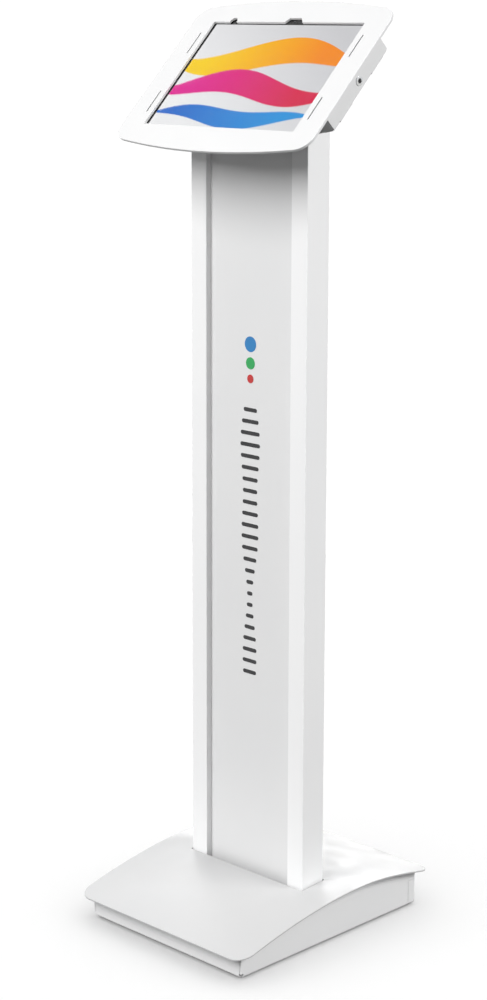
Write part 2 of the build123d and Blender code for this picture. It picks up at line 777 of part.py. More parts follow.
def make_rear_shell():
    """Folded rear box with bowed ends; its side bends are pierced by relief slots."""
    s = shell_sheet
    outer = bowed_outline(shell_width, shell_side, shell_bow)
    inner = bowed_outline(shell_width, shell_side, shell_bow, s)
    box = slab(outer, -shell_depth, tray_level - s)
    box = fillet(box.faces().sort_by(Axis.Z)[0].edges(), shell_bend)
    box -= slab(inner, -shell_depth + s, 0)
    for side in (-1, 1):
        edge = side * shell_width / 2
        box += block(edge, edge - side * s, -shell_side / 2, shell_side / 2, tray_level - s, shell_front)
        wall = side * (rim_width / 2 + s)
        for end in (-1, 1):
            y0, y1 = end * shell_side / 2, end * (shell_side / 2 - s)
            box += block(edge, wall, y0, y1, tray_level - s, shell_front)
        out, deep = edge + side, edge - side * (s + 0.6)
        cuts = ((-shell_side / 2 - 1, -bend_tab * 1.85), (-bend_tab * 0.82, bend_tab * 0.95),
                (bend_tab * 1.97, shell_side / 2 + 1))
        for y0, y1 in cuts:
            box -= block(out, deep, y0, y1, -shell_depth - 1, -shell_depth + s + 0.9)
    slot = SlotOverall(vent_length, vent_width)
    for x in (-vent_x, vent_x):
        for i in range(vent_count):
            y = vent_pitch * (i - (vent_count - 1) / 2)
            box -= Pos(x, y) * slab(slot, -shell_depth - 1, -shell_depth + s + 1)
    box = Pos(0, shell_centre_y) * box
    for x, y in vesa_holes:
        box -= rod(vesa_hole_radius, x, y, -shell_depth - 1, -shell_depth + s + 1)
    box -= rod(cable_hole_radius, 0, cable_hole_y, -shell_depth - 1, -shell_depth + s + 1)
    return box - rod_x(lock_radius, shell_inner - 2, shell_width / 2 + 1, lock_y, -lock_depth)


def make_cable_grommet():
    """Rubber grommet through the shell and the head plate."""
    r, z0, z1 = cable_hole_radius, mount_plane, -shell_depth + shell_sheet
    ring = rod(r, 0, cable_hole_y, z0 - 1.5, z1 + 1.5)
    ring += rod(r + 2, 0, cable_hole_y, z1, z1 + 1.5) + rod(r + 0.8, 0, cable_hole_y, z0 - 1.5, z0)
    return ring - rod(r - 2.5, 0, cable_hole_y, z0 - 3, z1 + 3)


def make_tablet_tray():
    """Shallow tray that carries the tablet, welded to the front of the rear box."""
    s, r = shell_sheet, tablet_corner_radius + tablet_play
    outer = RectangleRounded(rim_width + 2 * s, rim_height + 2 * s, r + s)
    tray = slab(outer, tray_level - s, shell_front)
    tray -= slab(RectangleRounded(rim_width, rim_height, r), tray_level, 0)
    opening = RectangleRounded(rim_width - 60, tray_opening, 12)
    tray -= Pos(0, shell_centre_y) * slab(opening, tray_level - s - 1, tray_level + 1)
    x0, x1 = -rim_width / 2 - s - 1, 1 - rim_width / 2
    return tray - block(x0, x1, -12, 12, tray_level + 1.2, shell_front + 1)


nodes["head_plate"] = on_head(make_head_plate())
nodes["head_screws"] = make_head_screws()
nodes["vesa_bolts"] = make_vesa_bolts()
nodes["vesa_nuts"] = make_vesa_nuts()
nodes["rear_shell"] = on_head(make_rear_shell())
nodes["cable_grommet"] = on_head(make_cable_grommet())
nodes["tablet_tray"] = on_head(make_tablet_tray())


# ---------------------------------------------------------------- tablet
def make_back_pads():
    """Foam pads under the tablet's back."""
    pad = RectangleRounded(20, 12, 3)
    places = corners(tablet_width / 2 - 24, tablet_height / 2 - 12)
    return group(on_head(Pos(x, y) * slab(pad, tray_level, tablet_back)) for x, y in places)


def make_edge_pads():
    """Foam strips between the tablet's edges and the tray."""
    half_x, half_y, t = tablet_width / 2, tablet_height / 2, tablet_play
    pads = []
    for side in (-1, 1):
        for x in (-70, 0):
            y0, y1 = side * (half_y + 0.02), side * (half_y + t)
            pads.append(block(x - 15, x + 15, y0, y1, tablet_back, tablet_back + edge_pad_height))
        for y in (-55, 22):
            x0, x1 = side * (half_x + 0.02), side * (half_x + t)
            pads.append(block(x0, x1, y - 9, y + 9, tablet_back, tablet_back + edge_pad_height))
    return group(on_head(pad) for pad in pads)


def make_tablet_housing():
    """Aluminium unibody: a shallow tray with a seat for the glass and holes for its buttons."""
    w, h, r = tablet_width, tablet_height, tablet_corner_radius
    body = slab(RectangleRounded(w, h, r), tablet_back, glass_front)
    body = fillet(body.faces().sort_by(Axis.Z)[0].edges(), 1.2)
    wall = tablet_wall
    seat = RectangleRounded(w - 2 * wall, h - 2 * wall, r - wall)
    body -= slab(seat, glass_front - glass_thickness, 1)
    pocket = RectangleRounded(w - 4 * wall, h - 4 * wall, r - 2 * wall)
    body -= slab(pocket, tablet_back + wall, 1)
    for key in buttons.values():
        body -= button_shape(key, button_play, -3)
    lens = rod(camera_radius, camera_x, camera_y, tablet_back - 1, tablet_back + wall + 1)
    usb = SlotOverall(9.4, 3.2)
    turn = Rot(0, 90, 0) * Rot(0, 0, 90)
    port = Pos(-w / 2 - 1, 0, button_level) * turn * slab(usb, 0, 2 * wall + 3)
    return body - lens - port


button_level = (glass_front - glass_thickness + tablet_back) / 2
camera_x, camera_y = tablet_width / 2 - camera_inset, tablet_height / 2 - camera_inset
buttons = {
    "top_button": ("right", tablet_height / 2 - 27.75, 20.0),
    "volume_up": ("top", tablet_width / 2 - 36.3, 12.0),
    "volume_down": ("top", tablet_width / 2 - 54.3, 12.0),
}


def button_shape(key, grow=0.0, inward=0.0):
    """Small bar through the housing's wall, on its right or top edge."""
    edge, place, length = key
    half, thick = length / 2 + grow, button_thickness / 2 + grow
    rise, deep = button_rise, 2 * tablet_wall + 0.1 - inward
    z0, z1 = button_level - thick, button_level + thick
    if edge == "right":
        x = tablet_width / 2
        return block(x - deep, x + rise, place - half, place + half, z0, z1)
    y = tablet_height / 2
    return block(place - half, place + half, y - deep, y + rise, z0, z1)


def make_button(key):
    """Button with softened outer edges."""
    edge = key[0]
    shape = button_shape(key)
    axis = Axis.X if edge == "right" else Axis.Y
    return fillet(shape.faces().sort_by(axis)[-1].edges(), 0.3)


def make_rear_camera():
    """Lens ring in the tablet's back."""
    return rod(camera_radius - 0.05, camera_x, camera_y, tablet_back, tablet_back + 3)


pocket_floor = tablet_back + tablet_wall
screen_back = glass_front - glass_thickness - display_thickness
inner_x, inner_y = tablet_width / 2 - 5, tablet_height / 2 - 5
glass = RectangleRounded(tablet_width - 2 * tablet_wall - 0.1, tablet_height - 2 * tablet_wall - 0.1,
                         tablet_corner_radius - tablet_wall - 0.05)
nodes["tablet_glass"] = on_head(slab(glass, glass_front - glass_thickness, glass_front))
nodes["tablet_display"] = on_head(
    slab(Rectangle(display_width, display_height), screen_back, glass_front - glass_thickness))
nodes["tablet_housing"] = on_head(make_tablet_housing())
cell_gap = 4.0
cell_width = inner_x - 33.3
cell_start = 16.3 - inner_x
cell_places = [cell_start + cell_width / 2 + i * (cell_width + cell_gap) for i in (0, 1)]
battery_cell = RectangleRounded(cell_width, tablet_height - 69.5, 3)
nodes["tablet_battery"] = group(
    on_head(Pos(x, -12) * slab(battery_cell, pocket_floor, screen_back - 0.5)) for x in cell_places)
nodes["tablet_logic_board"] = on_head(
    block(29.3 - inner_x, inner_x - 24.3, inner_y - 24, inner_y - 6, pocket_floor, pocket_floor + 1.6))
nodes["tablet_speakers"] = group(
    on_head(block(x - 5, x + 5, y - 16, y + 16, pocket_floor, pocket_floor + 2.4))
    for x, y in corners(inner_x - 10, tablet_height / 2 - 44.75))
nodes["front_camera"] = on_head(
    rod(2.6, notch_x, window_height / 2 + 3, screen_back - 1.2, glass_front - glass_thickness))
nodes["rear_camera"] = on_head(make_rear_camera())
nodes["back_pads"] = make_back_pads()
nodes["edge_pads"] = make_edge_pads()
for name, key in buttons.items():
    nodes[name] = on_head(make_button(key))


# ---------------------------------------------------------------- faceplate, hinge and lock
def make_faceplate():
    """Flat front plate with bowed ends, display window, sound slots and camera notches."""
    side = plate_height - 2 * plate_bow
    outline = fillet(bowed_outline(plate_width, side, plate_bow).vertices(), plate_corner_radius)
    face = Pos(0, -plate_drop) * outline
    face -= RectangleRounded(window_width, window_height, window_corner_radius)
    top = window_height / 2
    wide, narrow, high = notch_base / 2, notch_top / 2, notch_depth
    camera = Polyline((-wide, -1), (wide, -1), (wide, 0), (narrow, high), (-narrow, high), (-wide, 0),
                      close=True)
    face -= Pos(notch_x, top) * make_face(camera)
    face -= Pos(sensor_x, top) * Rot(0, 0, 90) * SlotOverall(2 * notch_depth, sensor_width)
    for x, y in corners(slot_x, slot_y):
        face -= Pos(x, y) * Rot(0, 0, 90) * SlotOverall(slot_length, slot_width)
    plate = slab(face, -plate_sheet, 0)
    return fillet(plate.faces().sort_by(Axis.Z)[-1].edges(), plate_edge)


def make_gasket():
    """Foam ring between the faceplate and the tablet's glass."""
    ring = RectangleRounded(tablet_width - 3, tablet_height - 3, tablet_corner_radius - 4)
    ring -= RectangleRounded(window_width + 3, window_height + 3, window_corner_radius + 1.5)
    ring -= Pos(notch_x, window_height / 2) * Rectangle(notch_base + 2, 2 * notch_depth + 2)
    ring -= Pos(sensor_x, window_height / 2) * Rectangle(sensor_width + 2, 2 * notch_depth + 2)
    return slab(ring, -plate_sheet - gasket_thickness, -plate_sheet)


def make_strike():
    """Hook welded behind the faceplate; the lock's cam turns in behind its foot."""
    x1 = shell_inner - 1.3
    x0 = x1 - strike_sheet
    y0 = lock_y + lock_radius + 1.8
    y1 = y0 + strike_length
    foot_top = -lock_depth + cam_width / 2 + 0.5 + strike_sheet
    hook = block(x0, x1, y0, y1, foot_top - strike_sheet, -plate_sheet)
    hook += block(x0 - 1.9, x1, y0, y1, foot_top - strike_sheet, foot_top)
    return hook


def knuckle_spans():
    """Start and end of each hinge knuckle along the hinge."""
    pitch = hinge_length / hinge_knuckles
    start = -hinge_length / 2
    return [(start + i * pitch + 0.2, start + (i + 1) * pitch - 0.2) for i in range(hinge_knuckles)]


def make_hinge_fixed():
    """Leaf on the rear shell's left side, with every other knuckle."""
    x1 = -shell_width / 2
    x0 = x1 - leaf_sheet
    half = shell_side / 2 - 1
    low = hinge_z - knuckle_radius - 0.6
    leaf = block(x0, x1, shell_centre_y - half, shell_centre_y + half, low - 14, low)
    for y0, y1 in knuckle_spans()[::2]:
        y0, y1 = y0 + shell_centre_y, y1 + shell_centre_y
        web = block(x0, x1, y0, y1, low - 1, hinge_z)
        bridge_low = hinge_z - knuckle_radius
        bridge = block(hinge_x, x1, y0, y1, bridge_low, bridge_low + leaf_sheet)
        bored = web + bridge + rod_y(knuckle_radius, hinge_x, y0, y1, hinge_z)
        leaf += bored - rod_y(pin_radius, hinge_x, y0 - 1, y1 + 1, hinge_z)
    return leaf


def make_hinge_moving():
    """Leaf welded behind the faceplate's left edge, with the other knuckles."""
    half = shell_side / 2 - 1
    x0 = -plate_width / 2 + 2
    clear = hinge_x - knuckle_radius - 0.5
    top = -plate_sheet
    leaf = block(x0, clear, shell_centre_y - half, shell_centre_y + half, top - leaf_sheet, top)
    for y0, y1 in knuckle_spans()[1::2]:
        y0, y1 = y0 + shell_centre_y, y1 + shell_centre_y
        arm = block(clear - 1, hinge_x, y0, y1, top - leaf_sheet, top)
        bored = arm + rod_y(knuckle_radius, hinge_x, y0, y1, hinge_z)
        leaf += bored - rod_y(pin_radius + running_gap, hinge_x, y0 - 1, y1 + 1, hinge_z)
    return leaf


def make_hinge_pin():
    """Pin with a small head at its top end."""
    half = hinge_length / 2
    y = shell_centre_y
    pin = rod_y(pin_radius, hinge_x, y - half + 0.2, y + half - 0.2, hinge_z)
    return pin + rod_y(pin_radius + 0.7, hinge_x, y + half - 0.2, y + half + 0.8, hinge_z)


lock_face = shell_width / 2 + 1.2
cam_face = shell_inner - 2.8


def make_lock_barrel():
    """Fixed barrel through the shell's right side, with a low rim outside."""
    barrel = rod_x(lock_radius - 0.02, cam_face + 0.1, shell_width / 2, lock_y, -lock_depth)
    rim = rod_x(lock_radius + 1.2, shell_width / 2, lock_face, lock_y, -lock_depth)
    rim = fillet(rim.edges().sort_by(Axis.X)[-1], 0.4)
    bore = rod_x(plug_radius + running_gap, cam_face - 1, lock_face + 1, lock_y, -lock_depth)
    return barrel + rim - bore


def make_lock_nut():
    """Thin ring nut clamping the barrel inside the shell."""
    ring = rod_x(lock_radius + 1.2, shell_inner - 1.8, shell_inner, lock_y, -lock_depth)
    return ring - rod_x(lock_radius, shell_inner - 4, shell_inner + 2, lock_y, -lock_depth)


def make_lock_plug():
    """Turning plug with a key slot in its face."""
    plug = rod_x(plug_radius, cam_face - cam_sheet, lock_face - 0.3, lock_y, -lock_depth)
    tall = plug_radius - 0.9
    slot = block(lock_face - 3.5, lock_face + 1, lock_y - 0.45, lock_y + 0.45,
                 -lock_depth - tall, tall - lock_depth)
    tapped = rod_x(cam_screw_radius, cam_face - cam_sheet - 1, cam_face + 1.5, lock_y, -lock_depth)
    return plug - slot - tapped


def make_lock_cam():
    """Flat cam on the plug's inner end, pointing away from the faceplate when unlocked."""
    x0, x1 = cam_face - cam_sheet, cam_face - 0.1
    cam = rod_x(plug_radius + 1.4, x0, x1, lock_y, -lock_depth)
    half = cam_width / 2
    cam += block(x0, x1, lock_y - half, lock_y + half, -lock_depth - cam_reach, -lock_depth)
    return cam - rod_x(plug_radius, x0 - 1, x1 + 1, lock_y, -lock_depth)


def make_cam_screw():
    """Screw that holds the cam on the plug."""
    x = cam_face - cam_sheet
    screw = Rot(0, -90, 0) * pan_screw(cam_screw_radius, 3.6, 1.4, 2.8)
    return Pos(x, lock_y, -lock_depth) * screw


nodes["faceplate"] = on_head(make_faceplate())
nodes["window_gasket"] = on_head(make_gasket())
nodes["strike_hook"] = on_head(make_strike())
nodes["hinge_leaf_fixed"] = on_head(make_hinge_fixed())
nodes["hinge_leaf_moving"] = on_head(make_hinge_moving())
nodes["hinge_pin"] = on_head(make_hinge_pin())
nodes["lock_barrel"] = on_head(make_lock_barrel())
nodes["lock_nut"] = on_head(make_lock_nut())
nodes["lock_plug"] = on_head(make_lock_plug())
nodes["lock_cam"] = on_head(make_lock_cam())
nodes["cam_screw"] = on_head(make_cam_screw())

os.makedirs("parts", exist_ok=True)
for name, shape in nodes.items():
    export_step(shape, f"parts/{name}.step")
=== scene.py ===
import json
from math import cos, pi, radians, sin

import bmesh
import bpy
from mathutils import Matrix, Vector


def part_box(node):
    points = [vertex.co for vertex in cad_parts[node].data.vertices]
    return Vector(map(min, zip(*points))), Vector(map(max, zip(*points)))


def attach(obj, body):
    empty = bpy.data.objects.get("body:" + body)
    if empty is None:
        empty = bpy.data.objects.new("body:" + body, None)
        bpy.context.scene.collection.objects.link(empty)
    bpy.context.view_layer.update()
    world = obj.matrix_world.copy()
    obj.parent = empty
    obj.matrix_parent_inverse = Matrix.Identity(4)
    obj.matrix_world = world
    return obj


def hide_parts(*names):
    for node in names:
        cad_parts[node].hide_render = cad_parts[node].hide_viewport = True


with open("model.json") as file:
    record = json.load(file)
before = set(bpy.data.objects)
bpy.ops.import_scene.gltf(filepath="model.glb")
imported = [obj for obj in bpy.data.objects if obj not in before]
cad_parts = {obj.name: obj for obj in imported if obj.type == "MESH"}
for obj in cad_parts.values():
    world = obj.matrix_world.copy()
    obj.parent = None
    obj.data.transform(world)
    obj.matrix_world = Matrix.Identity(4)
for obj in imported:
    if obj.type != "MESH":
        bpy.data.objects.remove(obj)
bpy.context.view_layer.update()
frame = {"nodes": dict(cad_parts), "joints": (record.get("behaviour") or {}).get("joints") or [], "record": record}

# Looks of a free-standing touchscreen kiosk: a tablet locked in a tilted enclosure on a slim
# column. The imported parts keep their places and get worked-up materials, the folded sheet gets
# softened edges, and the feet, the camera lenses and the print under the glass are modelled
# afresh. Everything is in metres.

MM = 0.001
nodes = frame["nodes"]

# ---- camera: angles in degrees, lens in millimetres ----
camera_place = Vector((1.6979, -1.7584, 1.0675))
camera_azimuth = 45.04
camera_dip = 11.62
camera_lens = 77.97
camera_shift = (0.0245, -0.0498)

# ---- floor, and the wash of light that only the floor takes ----
floor_reach = 40.0
floor_shade = 0.90
floor_glow = 0.12
wash_reach = 120.0
wash_height = 8.0
wash_level = 0.70

# ---- surroundings: strengths, and the heights of a direction between which they change ----
sky_low = 0.26
sky_high = 0.36
sky_below = 0.04
horizon_glow = 1.05
glow_top = (0.01, 0.02)
glow_foot = (-0.075, -0.065)
sky_climb = (0.05, 0.9)

# ---- lights that only the kiosk takes, and what they point at ----
aim = Vector((0, 0, 0.6))
kiosk_lights = (
    # name, place, width, height, level
    ("key", (-0.6, -4.2, 3.6), 2.8, 3.6, 1.10),
    ("side", (4.0, 1.2, 2.7), 2.4, 1.8, 0.78),
    ("back", (-2.6, 2.4, 1.1), 2.2, 1.8, 0.55),
)

# ---- coats, each by its shade of white; some are lighter or darker copies of one coat, as painted light and shade ----
# Darker copy of the white coat as painted shade, so the brightly lit faceplate and enclosure are not washed out;
# white parts without a coat of their own below wear it too.
enclosure_painted_shade = 0.72
# The posts' own brighter white; on the base tray and rear wall the same coat is painted light, lifting them out of
# the shade under the cover.
post_white_and_wall_painted_light = 0.88
panel_shade = 0.74
# Darker copy of the white coat as painted shade: the cover's upward face takes the most light from above, so its
# colour is darkened.
cover_painted_shade = 0.56
rubbed_edge = 0.9 * MM
rubbed_colour = (0.60, 0.605, 0.61)

# ---- softened edges ----
edge_softness = 0.35 * MM
edge_segments = 2
sharp_from_degrees = 50
weld_gap = 0.001 * MM
softened_parts = ("base_cover", "base_tray", "base_rear_wall", "tablet_tray", "head_plate",
                  "rear_shell", "front_panel")

# ---- print under the cover glass ----
housing_wall = 1.2 * MM
mask_corner = 15 * MM
mask_window_corner = 0.2 * MM
mask_thickness = 0.1 * MM
mask_gap = 0.02 * MM
corner_steps = 12

# ---- feet: places across are shares of the radius ----
foot_radius = 11 * MM
foot_groove = 0.35 * MM
foot_segments = 64
tread_middles = (0.25, 0.50, 0.75)
tread_half_width = 0.07
rim_start = 0.93
rim_turn = 0.98
top_width = 0.995

# ---- camera lenses: widths are shares of the camera's radius ----
lens_segments = 48
lens_edge = 0.15 * MM
lens_seat = 0.25 * MM
lens_dome = 0.20 * MM
seat_width = 0.72
seat_foot_width = 0.68
dome_width = 0.60
dome_steps = 6


# ---------------------------------------------------------------- places read from the frame
def centre(part):
    """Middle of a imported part's box at rest."""
    low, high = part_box(part)
    return (low + high) / 2


def joint(name):
    """One joint of the record by its name."""
    return next(j for j in frame["joints"] if j["name"] == name)


def reach(part, axis):
    """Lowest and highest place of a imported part's points along an axis."""
    places = [v.co.dot(axis) for v in nodes[part].data.vertices]
    return min(places), max(places)


across = Vector((1, 0, 0))
upright = Vector((0, 0, 1))
up_slope = -Vector(joint("faceplate_hinge")["axis"]).normalized()
outward = across.cross(up_slope)
glass_middle = centre("tablet_glass")
display_middle = centre("tablet_display")


def on_head(u, v, level):
    """Point at u across and v up the slope from the screen's middle, at a level along outward."""
    flat = across * (glass_middle.dot(across) + u) + up_slope * (glass_middle.dot(up_slope) + v)
    return flat + outward * level


# ---------------------------------------------------------------- camera, floor and light
def make_camera():
    """The camera looks at the kiosk from its right front, slightly down."""
    data = bpy.data.cameras.new("camera")
    data.lens = camera_lens
    data.shift_x, data.shift_y = camera_shift
    camera = bpy.data.objects.new("camera", data)
    camera.location = camera_place
    camera.rotation_euler = (radians(90 - camera_dip), 0, radians(camera_azimuth))
    bpy.context.scene.collection.objects.link(camera)
    bpy.context.scene.camera = camera


def area_light(name, place, width, height, level, lights_on):
    """Soft light aimed at the kiosk; level is how bright it makes a white surface that faces it."""
    away = Vector(place) - aim
    data = bpy.data.lights.new(name, "AREA")
    data.shape = "RECTANGLE"
    data.size, data.size_y = width, height
    data.energy = level * pi ** 2 * away.length_squared
    light = bpy.data.objects.new(name, data)
    light.location = place
    light.rotation_euler = away.to_track_quat("Z", "Y").to_euler()
    light.light_linking.receiver_collection = lights_on
    bpy.context.scene.collection.objects.link(light)


def make_floor():
    """Pale floor, faintly bright of itself, that takes soft shadows but throws no light up."""
    half = floor_reach / 2
    mesh = bpy.data.meshes.new("floor")
    mesh.from_pydata([(-half, -half, 0), (half, -half, 0), (half, half, 0), (-half, half, 0)],
                     [], [(0, 1, 2, 3)])
    floor = bpy.data.objects.new("floor", mesh)
    bpy.context.scene.collection.objects.link(floor)
    floor.visible_diffuse = False
    paper, _, shader = start_material("floor_paper", (floor_shade,) * 3, 0.9)
    shader.inputs["Specular IOR Level"].default_value = 0.0
    shader.inputs["Emission Color"].default_value = (1, 1, 1, 1)
    shader.inputs["Emission Strength"].default_value = floor_glow
    mesh.materials.append(paper)
    return floor


def reach_of_light(name, floor, state):
    """Light group that takes in the floor alone, or everything but the floor."""
    group = bpy.data.collections.new(name)
    group.objects.link(floor)
    group.collection_objects[0].light_linking.link_state = state
    return group


def wash_floor(floor):
    """Wide even light from above that only the floor takes, so the kiosk shades it softly."""
    data = bpy.data.lights.new("wash", "AREA")
    data.size = wash_reach
    data.energy = wash_level * pi * wash_reach ** 2
    light = bpy.data.objects.new("wash", data)
    light.location = (0, 0, wash_height)
    light.light_linking.receiver_collection = reach_of_light("floor_only", floor, "INCLUDE")
    bpy.context.scene.collection.objects.link(light)


def make_sky():
    """Dim even surroundings, darker below, with a white band along the horizon."""
    world = bpy.data.worlds.new("studio")
    world.use_nodes = True
    tree = world.node_tree
    sky = tree.nodes["Background"]
    sky.inputs["Color"].default_value = (1, 1, 1, 1)
    direction = node(tree, "ShaderNodeTexCoord").outputs["Generated"]
    split = node(tree, "ShaderNodeSeparateXYZ")
    tree.links.new(direction, split.inputs["Vector"])
    height = split.outputs["Z"]
    near_horizon = between(tree, height, horizon_glow, sky_low, *glow_top)
    higher_up = between(tree, height, 0.0, sky_high - sky_low, *sky_climb)
    below = between(tree, height, sky_below - horizon_glow, 0.0, *glow_foot)
    whole = maths(tree, "ADD", maths(tree, "ADD", near_horizon, higher_up), below)
    tree.links.new(whole, sky.inputs["Strength"])
    bpy.context.scene.world = world


def make_studio():
    """Floor, surroundings, and the kiosk's soft lights: in front, to the right, behind left."""
    floor = make_floor()
    wash_floor(floor)
    make_sky()
    kiosk_only = reach_of_light("kiosk_only", floor, "EXCLUDE")
    for name, place, width, height, level in kiosk_lights:
        area_light(name, place, width, height, level, kiosk_only)
    bpy.context.scene.view_settings.view_transform = "Standard"


# ---------------------------------------------------------------- materials
def node(tree, kind, inputs=None, **settings):
    """New shader node with its settings and input values."""
    made = tree.nodes.new(kind)
    for key, value in settings.items():
        setattr(made, key, value)
    for key, value in (inputs or {}).items():
        made.inputs[key].default_value = value
    return made


def start_material(name, colour, roughness, metallic=0.0):
    """Principled material whose even values are on the shader itself."""
    made = bpy.data.materials.new(name)
    made.use_nodes = True
    shader = made.node_tree.nodes["Principled BSDF"]
    shader.inputs["Base Color"].default_value = (*colour, 1)
    shader.inputs["Roughness"].default_value = roughness
    shader.inputs["Metallic"].default_value = metallic
    return made, made.node_tree, shader


def own_place(tree):
    """Place on the piece, which moves with the piece."""
    return node(tree, "ShaderNodeTexCoord").outputs["Object"]


def noise(tree, scale, detail=3.0, stretch=(1, 1, 1)):
    """Cloudy noise fixed to the piece."""
    turn = node(tree, "ShaderNodeMapping", {"Scale": stretch})
    cloud = node(tree, "ShaderNodeTexNoise", {"Scale": scale, "Detail": detail})
    tree.links.new(own_place(tree), turn.inputs["Vector"])
    tree.links.new(turn.outputs["Vector"], cloud.inputs["Vector"])
    return cloud.outputs["Fac"]


def between(tree, value, low, high, start=0.3, end=0.7):
    """Number from low to high as value goes from start to end."""
    span = node(tree, "ShaderNodeMapRange",
                {"From Min": start, "From Max": end, "To Min": low, "To Max": high})
    tree.links.new(value, span.inputs["Value"])
    return span.outputs["Result"]


def maths(tree, operation, first, second=None):
    """One sum on node outputs or plain numbers."""
    made = node(tree, "ShaderNodeMath", operation=operation)
    for socket, value in zip(made.inputs, (first, second)):
        if isinstance(value, (int, float)):
            socket.default_value = value
        elif value is not None:
            tree.links.new(value, socket)
    return made.outputs["Value"]


def blend_colours(tree, factor, first, second):
    """Colour between two, either of which may be a value or another node's output."""
    # The mixer has a socket of each name for every data type, so colours go by number.
    factor_socket, first_socket, second_socket, result_socket = 0, 6, 7, 2
    mix = node(tree, "ShaderNodeMix", data_type="RGBA")
    for number, colour in ((first_socket, first), (second_socket, second)):
        if isinstance(colour, tuple):
            mix.inputs[number].default_value = (*colour, 1)
        else:
            tree.links.new(colour, mix.inputs[number])
    tree.links.new(factor, mix.inputs[factor_socket])
    return mix.outputs[result_socket]


def mottle(tree, shader, cloud, first, second):
    """Base colour that wanders from the first to the second with a cloud."""
    colour = blend_colours(tree, between(tree, cloud, 0, 1), first, second)
    tree.links.new(colour, shader.inputs["Base Color"])


def vary_roughness(tree, shader, cloud, low, high, start=0.3, end=0.7):
    """Roughness that wanders from low to high with a cloud."""
    tree.links.new(between(tree, cloud, low, high, start, end), shader.inputs["Roughness"])


def add_bump(tree, shader, height, depth, strength):
    """Fine relief on the surface."""
    bump = node(tree, "ShaderNodeBump", {"Distance": depth, "Strength": strength})
    tree.links.new(height, bump.inputs["Height"])
    tree.links.new(bump.outputs["Normal"], shader.inputs["Normal"])


def edge_mask(tree, radius):
    """1 along outer and inner edges and 0 on open faces, by how far a rounded normal turns."""
    rounded = node(tree, "ShaderNodeBevel", {"Radius": radius}, samples=4)
    plain = node(tree, "ShaderNodeNewGeometry")
    match = node(tree, "ShaderNodeVectorMath", operation="DOT_PRODUCT")
    tree.links.new(rounded.outputs["Normal"], match.inputs[0])
    tree.links.new(plain.outputs["Normal"], match.inputs[1])
    return between(tree, match.outputs["Value"], 1.0, 0.0, 0.80, 0.995)


def wear_edges(tree, shader, radius, patches, coat, bared):
    """Base colour that turns from the coat to what lies bare, in patches along the edges."""
    worn = maths(tree, "MULTIPLY", edge_mask(tree, radius), patches)
    tree.links.new(blend_colours(tree, worn, coat, bared), shader.inputs["Base Color"])


def powder_coat(name, shade):
    """White powder coat: fine orange peel, faint cloudiness and slightly rubbed edges."""
    white = (shade, shade, shade)
    off_white = (shade - 0.02, shade - 0.018, shade - 0.014)
    made, tree, shader = start_material(name, white, 0.42)
    clean = blend_colours(tree, between(tree, noise(tree, 7.0), 0, 1), off_white, white)
    patches = between(tree, noise(tree, 90.0, 5.0), 0.0, 0.42)
    wear_edges(tree, shader, rubbed_edge, patches, clean, rubbed_colour)
    vary_roughness(tree, shader, noise(tree, 35.0), 0.36, 0.50)
    shader.inputs["Specular IOR Level"].default_value = 0.45
    add_bump(tree, shader, noise(tree, 850.0, 2.0), 0.05 * MM, 0.35)
    return made


def primed_plate():
    """Black primer over rolled plate, scuffed along its edges."""
    made, tree, shader = start_material("black_primer", (0.02, 0.02, 0.022), 0.6)
    primer = blend_colours(tree, between(tree, noise(tree, 25.0, 6.0), 0, 1),
                           (0.014, 0.014, 0.016), (0.035, 0.035, 0.037))
    scuffs = between(tree, noise(tree, 120.0), 0.0, 0.8)
    wear_edges(tree, shader, 0.8 * MM, scuffs, primer, (0.16, 0.155, 0.15))
    vary_roughness(tree, shader, noise(tree, 60.0), 0.5, 0.72)
    add_bump(tree, shader, noise(tree, 300.0, 5.0), 0.08 * MM, 0.6)
    return made


def zinc():
    """Bright zinc plating with a faint blue and straw tint."""
    made, tree, shader = start_material("zinc_plate", (0.62, 0.63, 0.65), 0.32, 1.0)
    mottle(tree, shader, noise(tree, 60.0), (0.58, 0.61, 0.66), (0.68, 0.66, 0.60))
    vary_roughness(tree, shader, noise(tree, 220.0, 5.0), 0.24, 0.44)
    add_bump(tree, shader, noise(tree, 700.0), 0.02 * MM, 0.4)
    return made


def mill_aluminium():
    """Sawn and extruded aluminium, with lines along its length."""
    made, tree, shader = start_material("mill_aluminium", (0.66, 0.67, 0.68), 0.38, 1.0)
    lines = noise(tree, 400.0, 3.0, (1, 1, 0.02))
    mottle(tree, shader, lines, (0.60, 0.61, 0.62), (0.70, 0.71, 0.72))
    vary_roughness(tree, shader, lines, 0.30, 0.50)
    add_bump(tree, shader, lines, 0.02 * MM, 0.5)
    return made


def anodised():
    """Blasted and anodised tablet housing."""
    made, tree, shader = start_material("anodised_housing", (0.62, 0.64, 0.67), 0.34, 1.0)
    mottle(tree, shader, noise(tree, 20.0), (0.60, 0.62, 0.65), (0.65, 0.67, 0.70))
    vary_roughness(tree, shader, noise(tree, 120.0), 0.30, 0.39)
    add_bump(tree, shader, noise(tree, 5000.0, 1.0), 0.01 * MM, 0.5)
    return made


def rubber():
    """Moulded black rubber, dusty where it is matt."""
    made, tree, shader = start_material("moulded_rubber", (0.022, 0.022, 0.023), 0.75)
    mottle(tree, shader, noise(tree, 110.0, 5.0), (0.018, 0.018, 0.019), (0.040, 0.039, 0.038))
    vary_roughness(tree, shader, noise(tree, 160.0), 0.66, 0.85)
    add_bump(tree, shader, noise(tree, 900.0), 0.04 * MM, 0.5)
    return made


